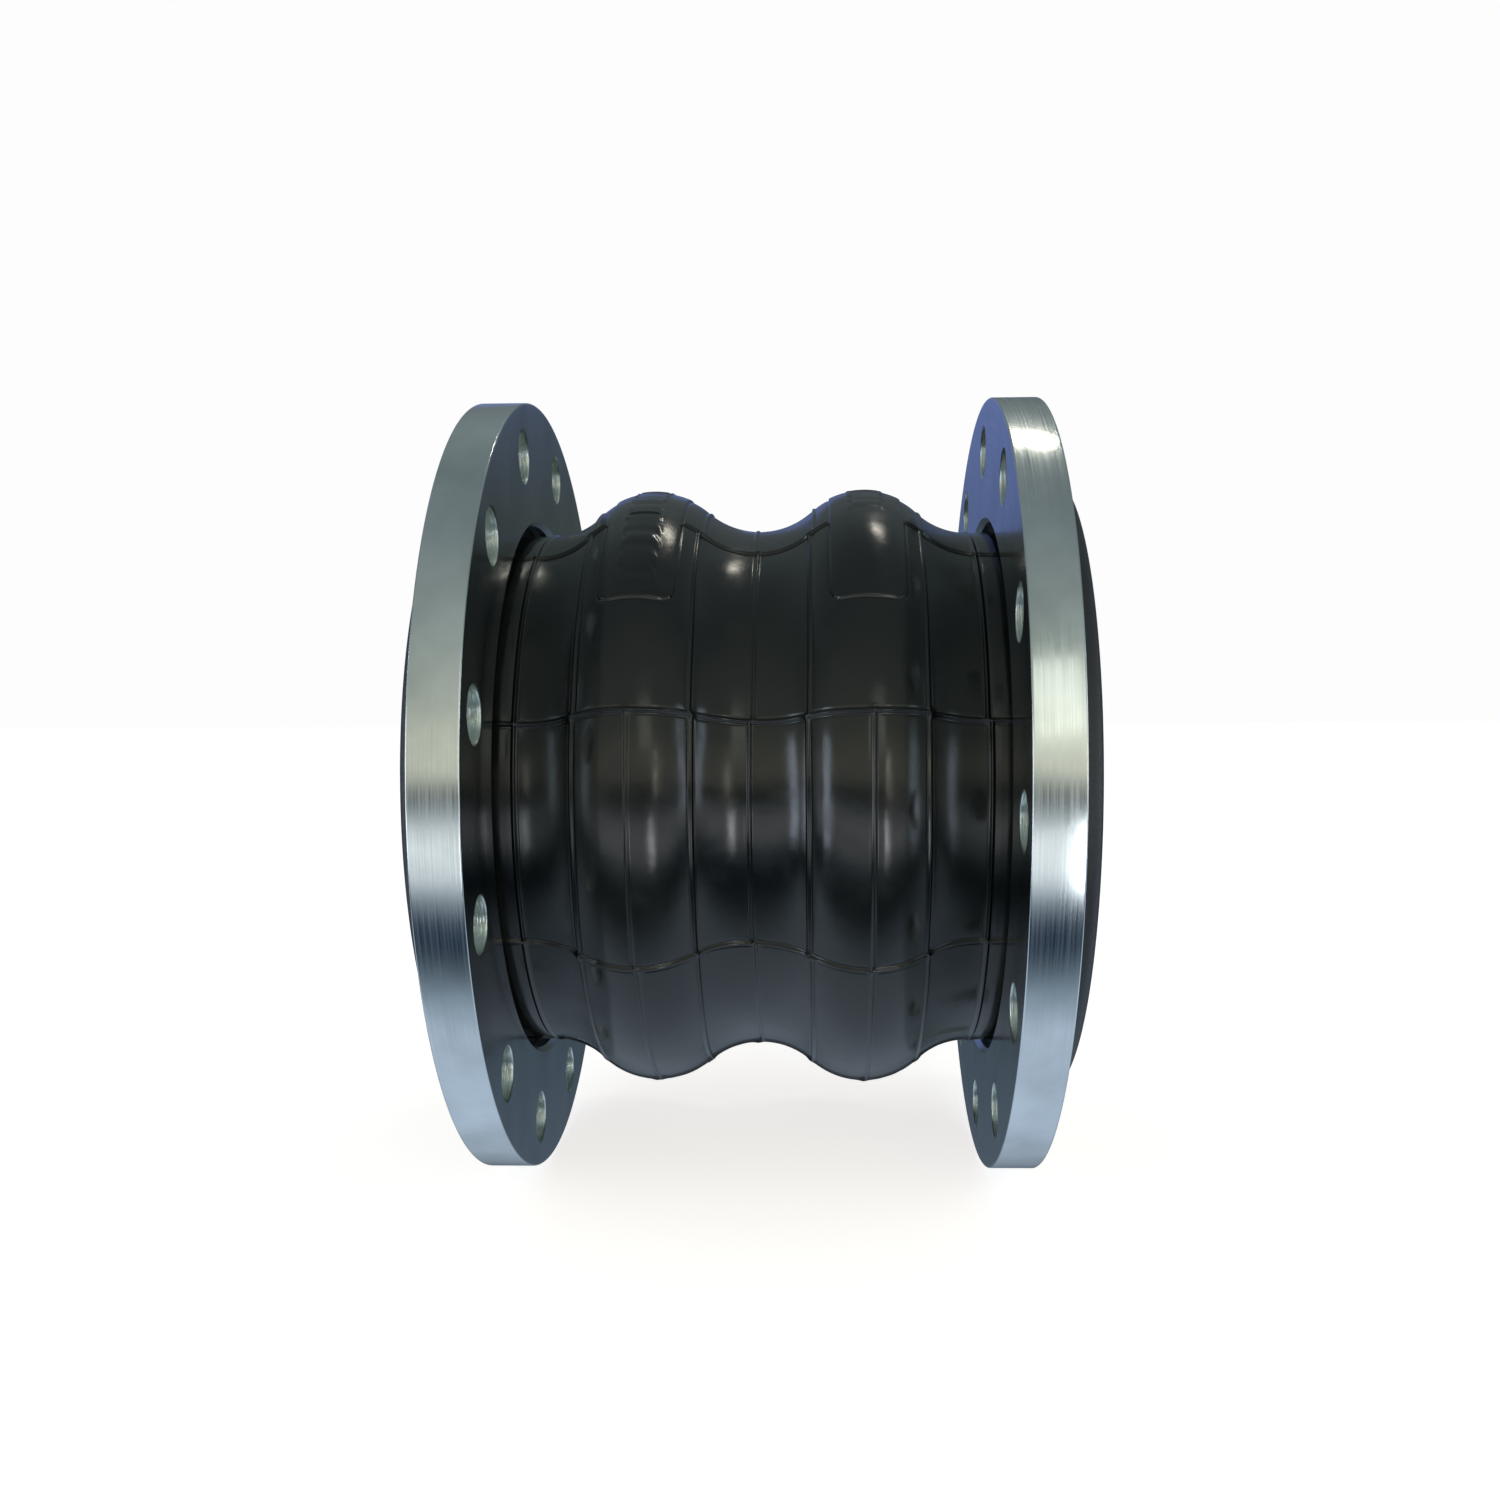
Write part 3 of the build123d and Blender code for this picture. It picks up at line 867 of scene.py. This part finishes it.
def build_lights():
    """Soft boxes aimed at the joint: windows, a doorway, a low pane, a lamp and a blue wall.
    Each has a name, azimuth and elevation from the front, distance, width, height, radiance
    and colour; its power is radiance * pi * area."""
    boxes = [
        ("left_window", -53, 2, 2.0, 0.34, 1.2, 4.5, "#dbeaff"),
        ("right_window", 60, 10, 2.0, 0.3, 1.0, 2.6, "#dbeaff"),
        ("left_strip", -86, 4, 2.2, 0.2, 1.6, 4.0, "#f0f6ff"),
        ("right_strip", 86, 4, 2.2, 0.2, 1.6, 4.0, "#f0f6ff"),
        ("doorway", 25, 9, 2.2, 0.14, 0.45, 5.0, "#fff6e6"),
        ("low_pane", 20, -13, 2.2, 0.24, 0.6, 7.0, "#f8fbff"),
        ("pale_pane", 13, 27, 2.0, 0.5, 0.7, 1.0, "#f8faec"),
        ("lamp", 156, 64, 1.94, 0.26, 0.1, 20.0, "#fff8e8"),
        ("blue_wall", -150, 12, 3.0, 3.2, 1.6, 0.29, "#7f9bff"),
    ]
    for name, azimuth, elevation, distance, width, height, radiance, colour in boxes:
        light = bpy.data.lights.new(name, "AREA")
        light.shape = "RECTANGLE"
        light.size = width
        light.size_y = height
        light.energy = radiance * pi * width * height
        light.color = linear(colour)[:3]
        lamp = bpy.data.objects.new(name, light)
        turn, lift = radians(azimuth), radians(elevation)
        lamp.location = Vector((sin(turn) * cos(lift), -cos(turn) * cos(lift), sin(lift))) * distance
        lamp.rotation_euler = (-lamp.location).to_track_quat("-Z", "Y").to_euler()
        bpy.context.scene.collection.objects.link(lamp)


def build_camera(stage):
    """A camera in front of the joint, a little above the pipe axis and looking down on it.
    It is placed as if level, then carried up round the pipe axis by its elevation."""
    data = bpy.data.cameras.new("camera")
    data.lens = stage.focal_length
    data.sensor_width = 36
    data.shift_x = stage.shift_x
    data.shift_y = stage.shift_y
    camera = bpy.data.objects.new("camera", data)
    level = Matrix.Translation((stage.camera_x, -stage.distance, stage.camera_z))
    aim = (
        Matrix.Rotation(stage.yaw, 4, "Z")
        @ Matrix.Rotation(stage.pitch, 4, "X")
        @ Matrix.Rotation(stage.roll, 4, "Y")
        @ Matrix.Rotation(pi / 2, 4, "X")
    )
    camera.matrix_world = Matrix.Rotation(-stage.elevation, 4, "X") @ level @ aim
    bpy.context.scene.collection.objects.link(camera)
    bpy.context.scene.camera = camera
    bpy.context.scene.view_settings.view_transform = "Standard"


# ---------------------------------------------------------------- settings


class CoverSettings(bpy.types.PropertyGroup):
    """The outer cover's mould ribs, seams and label pads"""

    segments: IntProperty(name="Mould segments", description="Segments round the mould", default=8)
    first_seam: angle_prop("First seam", 17.5, "Where the first seam lies above the front")
    rib_height: length_prop("Rib height", 1.15 * MM, "How far the mould ribs stand out")
    rib_half_width: length_prop("Rib half width", 0.8 * MM, "Half the width of a mould rib")
    mould_slip: length_prop("Mould slip", 1.6 * MM, "How far the ribs of segments are out of line")
    flash_height: length_prop("Flash height", 0.6 * MM, "Extra height where rib and seam meet")
    pad_start: angle_prop("Pad start", 38.5, "Where the label pads start above the front")
    pad_arc: angle_prop("Pad arc", 67, "How far round the pipe the label pads reach")
    pad_height: length_prop("Pad height", 0.8 * MM, "How far the label pads stand out")
    pad_corner: length_prop("Pad corner", 7 * MM, "The label pads' corner radius")
    bar_height: length_prop("Bar height", 0.8 * MM, "Height of the plain bars on the pads")
    swell: length_prop("Swell", 0.3 * MM, "Slow unevenness of the cured skin")


class FlangeSettings(bpy.types.PropertyGroup):
    """Where the holes stand, and the flanges' edges"""

    left_phase: angle_prop("Left phase", 15, "Angle of the left flange's first hole")
    right_phase: angle_prop("Right phase", 0, "Angle of the right flange's first hole")
    edge_radius: length_prop("Edge radius", 0.9 * MM, "Rounding of the rim's edges")
    hole_edge: length_prop("Hole edge", 0.8 * MM, "Rounding of the bolt holes' edges")
    rays: IntProperty(name="Rays", description="Points round each hole, a multiple of 4", default=64)


class FinishSettings(bpy.types.PropertyGroup):
    """Colours and gloss of the rubber and the plating"""

    rubber: colour_prop("Rubber", "#0a0d0c", "Cover rubber")
    rubber_worn: colour_prop("Worn rubber", "#131512", "Cover rubber where it is handled")
    rubber_roughness: FloatProperty(name="Rubber roughness", description="Gloss", default=0.17)
    seal_rubber: colour_prop("Seal rubber", "#1c2026", "Matt rubber of the sealing ends")
    tube_rubber: colour_prop("Tube rubber", "#151616", "Lining")
    zinc: colour_prop("Zinc", "#cdd2d2", "Bright zinc plating")
    zinc_dull: colour_prop("Dull zinc", "#b6bcbb", "Zinc plating where it has dulled")
    zinc_drilled: colour_prop("Drilled zinc", "#c6cfc8", "Zinc plating inside the bolt holes")
    zinc_roughness: FloatProperty(name="Zinc roughness", description="Gloss", default=0.17)


class StageSettings(bpy.types.PropertyGroup):
    """Camera, floor and room"""

    focal_length: FloatProperty(
        name="Focal length", description="Lens, in millimetres on a 36 mm frame", default=35.55
    )
    distance: length_prop("Distance", 809.2 * MM, "Camera's distance from the pipe axis")
    camera_x: length_prop("Camera X", 30.8 * MM, "Camera's place along the pipe")
    camera_z: length_prop("Camera Z", 2.5 * MM, "Camera's height above the pipe axis")
    elevation: angle_prop("Elevation", 4.5, "Camera's turn up round the pipe axis")
    yaw: angle_prop("Yaw", 1.916, "Camera's turn to the left")
    pitch: angle_prop("Pitch", -2.696, "Camera's tilt upwards")
    roll: angle_prop("Roll", 0.2, "Camera's roll")
    shift_x: FloatProperty(name="Shift X", description="Lens shift sideways", default=-0.0133)
    shift_y: FloatProperty(name="Shift Y", description="Lens shift upwards", default=0.0687)
    floor: colour_prop("Floor", "#f8f4f1", "Pale floor")
    floor_glow: FloatProperty(name="Floor glow", description="Light from the floor", default=0.78)
    backdrop: colour_prop("Backdrop", "#fdfdfd", "What the camera sees behind the joint")
    room_light: FloatProperty(name="Room light", description="The room's brightness", default=1.5)


# ---------------------------------------------------------------- operators


class JOINT_OT_cover(bpy.types.Operator):
    """Build the outer rubber cover with its mould ribs and label pads"""

    bl_idname = "expansion_joint.cover"
    bl_label = "Outer cover"

    def execute(self, context):
        build_cover(context.scene.joint_cover, context.scene.joint_finish)
        return {"FINISHED"}


class JOINT_OT_wall(bpy.types.Operator):
    """Build the cord plies and the inner tube inside the cover"""

    bl_idname = "expansion_joint.wall"
    bl_label = "Cord plies and inner tube"

    def execute(self, context):
        finish = context.scene.joint_finish
        cord = cord_fabric("rubberised_nylon_cord", linear("#a3946e"), linear("#1e1d1b"), 1.4)
        plies = [f"cord_ply_{number}" for number in range(1, 5)]
        build_layer("cord_plies", 0.0, PLIES, cord, "cord_fabric", plies)
        lining = plain_rubber("lining_rubber", finish.tube_rubber, 0.42, 2.5)
        build_layer("inner_tube", PLIES + FIT_GAP, TUBE, lining, "tube_rubber", ["inner_tube"])
        return {"FINISHED"}


class JOINT_OT_seal_ends(bpy.types.Operator):
    """Build the rubber ends that seal against the pipe flanges"""

    bl_idname = "expansion_joint.seal_ends"
    bl_label = "Sealing ends"

    def execute(self, context):
        made = plain_rubber("seal_face_rubber", context.scene.joint_finish.seal_rubber, 0.5, 1.6)
        for side_name in SIDES:
            build_seal_end(side_name, made)
        return {"FINISHED"}


class JOINT_OT_flanges(bpy.types.Operator):
    """Build the two loose, drilled steel flanges"""

    bl_idname = "expansion_joint.flanges"
    bl_label = "Loose flanges"

    def execute(self, context):
        finish = context.scene.joint_finish
        steel = turned_zinc_steel(finish)
        drilled = drilled_zinc_steel(finish)
        for side_name in SIDES:
            build_flange(side_name, context.scene.joint_flange, steel, drilled)
        return {"FINISHED"}


class JOINT_OT_inner_pieces(bpy.types.Operator):
    """Give the pieces inside the beads and the waist their materials"""

    bl_idname = "expansion_joint.inner_pieces"
    bl_label = "Bead and waist pieces"

    def execute(self, context):
        finishes = {
            "bead_wires": plain_steel("brass_coated_bead_wire", linear("#b09468"), 0.3),
            "bead_filler": plain_rubber("hard_filler_rubber", linear("#1d1d1d"), 0.6, 2.0),
            "bead_wrap": cord_fabric("square_woven_wrap", linear("#6d675a"), linear("#232220"), 2.0),
        }
        for side_name in SIDES:
            for kind, made in finishes.items():
                give_material(f"{side_name}_{kind}", made)
        give_material("root_ring", plain_steel("rolled_steel_ring", linear("#8e9091"), 0.4))
        return {"FINISHED"}


class JOINT_OT_stage(bpy.types.Operator):
    """Set the pale floor, the soft lights and the camera"""

    bl_idname = "expansion_joint.stage"
    bl_label = "Stage"

    def execute(self, context):
        stage = context.scene.joint_stage
        build_floor(stage)
        build_world(stage)
        build_lights()
        build_camera(stage)
        return {"FINISHED"}


class JOINT_PT_panel(bpy.types.Panel):
    """Lists the operators in their order, then every setting"""

    bl_idname = "JOINT_PT_panel"
    bl_label = "Expansion joint"
    bl_space_type = "VIEW_3D"
    bl_region_type = "UI"
    bl_category = "Expansion joint"

    def draw(self, context):
        for operator in OPERATORS:
            self.layout.operator(operator.bl_idname)
        for name in SETTINGS:
            box = self.layout.box()
            group = getattr(context.scene, name)
            for key in group.__annotations__:
                box.prop(group, key)


SETTINGS = {
    "joint_cover": CoverSettings,
    "joint_flange": FlangeSettings,
    "joint_finish": FinishSettings,
    "joint_stage": StageSettings,
}
OPERATORS = (
    JOINT_OT_cover,
    JOINT_OT_wall,
    JOINT_OT_seal_ends,
    JOINT_OT_flanges,
    JOINT_OT_inner_pieces,
    JOINT_OT_stage,
)


def register():
    """Registers the classes and hangs the settings on the scene."""
    for kind in (*SETTINGS.values(), *OPERATORS, JOINT_PT_panel):
        bpy.utils.register_class(kind)
    for name, kind in SETTINGS.items():
        setattr(bpy.types.Scene, name, PointerProperty(type=kind))


def unregister():
    """Takes the settings off the scene and the classes out, in the opposite order."""
    for name in SETTINGS:
        delattr(bpy.types.Scene, name)
    for kind in (JOINT_PT_panel, *reversed(OPERATORS), *SETTINGS.values()):
        bpy.utils.unregister_class(kind)


def main():
    """Builds every piece and the stage."""
    register()
    bpy.ops.expansion_joint.cover()
    bpy.ops.expansion_joint.wall()
    bpy.ops.expansion_joint.seal_ends()
    bpy.ops.expansion_joint.flanges()
    bpy.ops.expansion_joint.inner_pieces()
    bpy.ops.expansion_joint.stage()


if __name__ == "__main__":
    main()
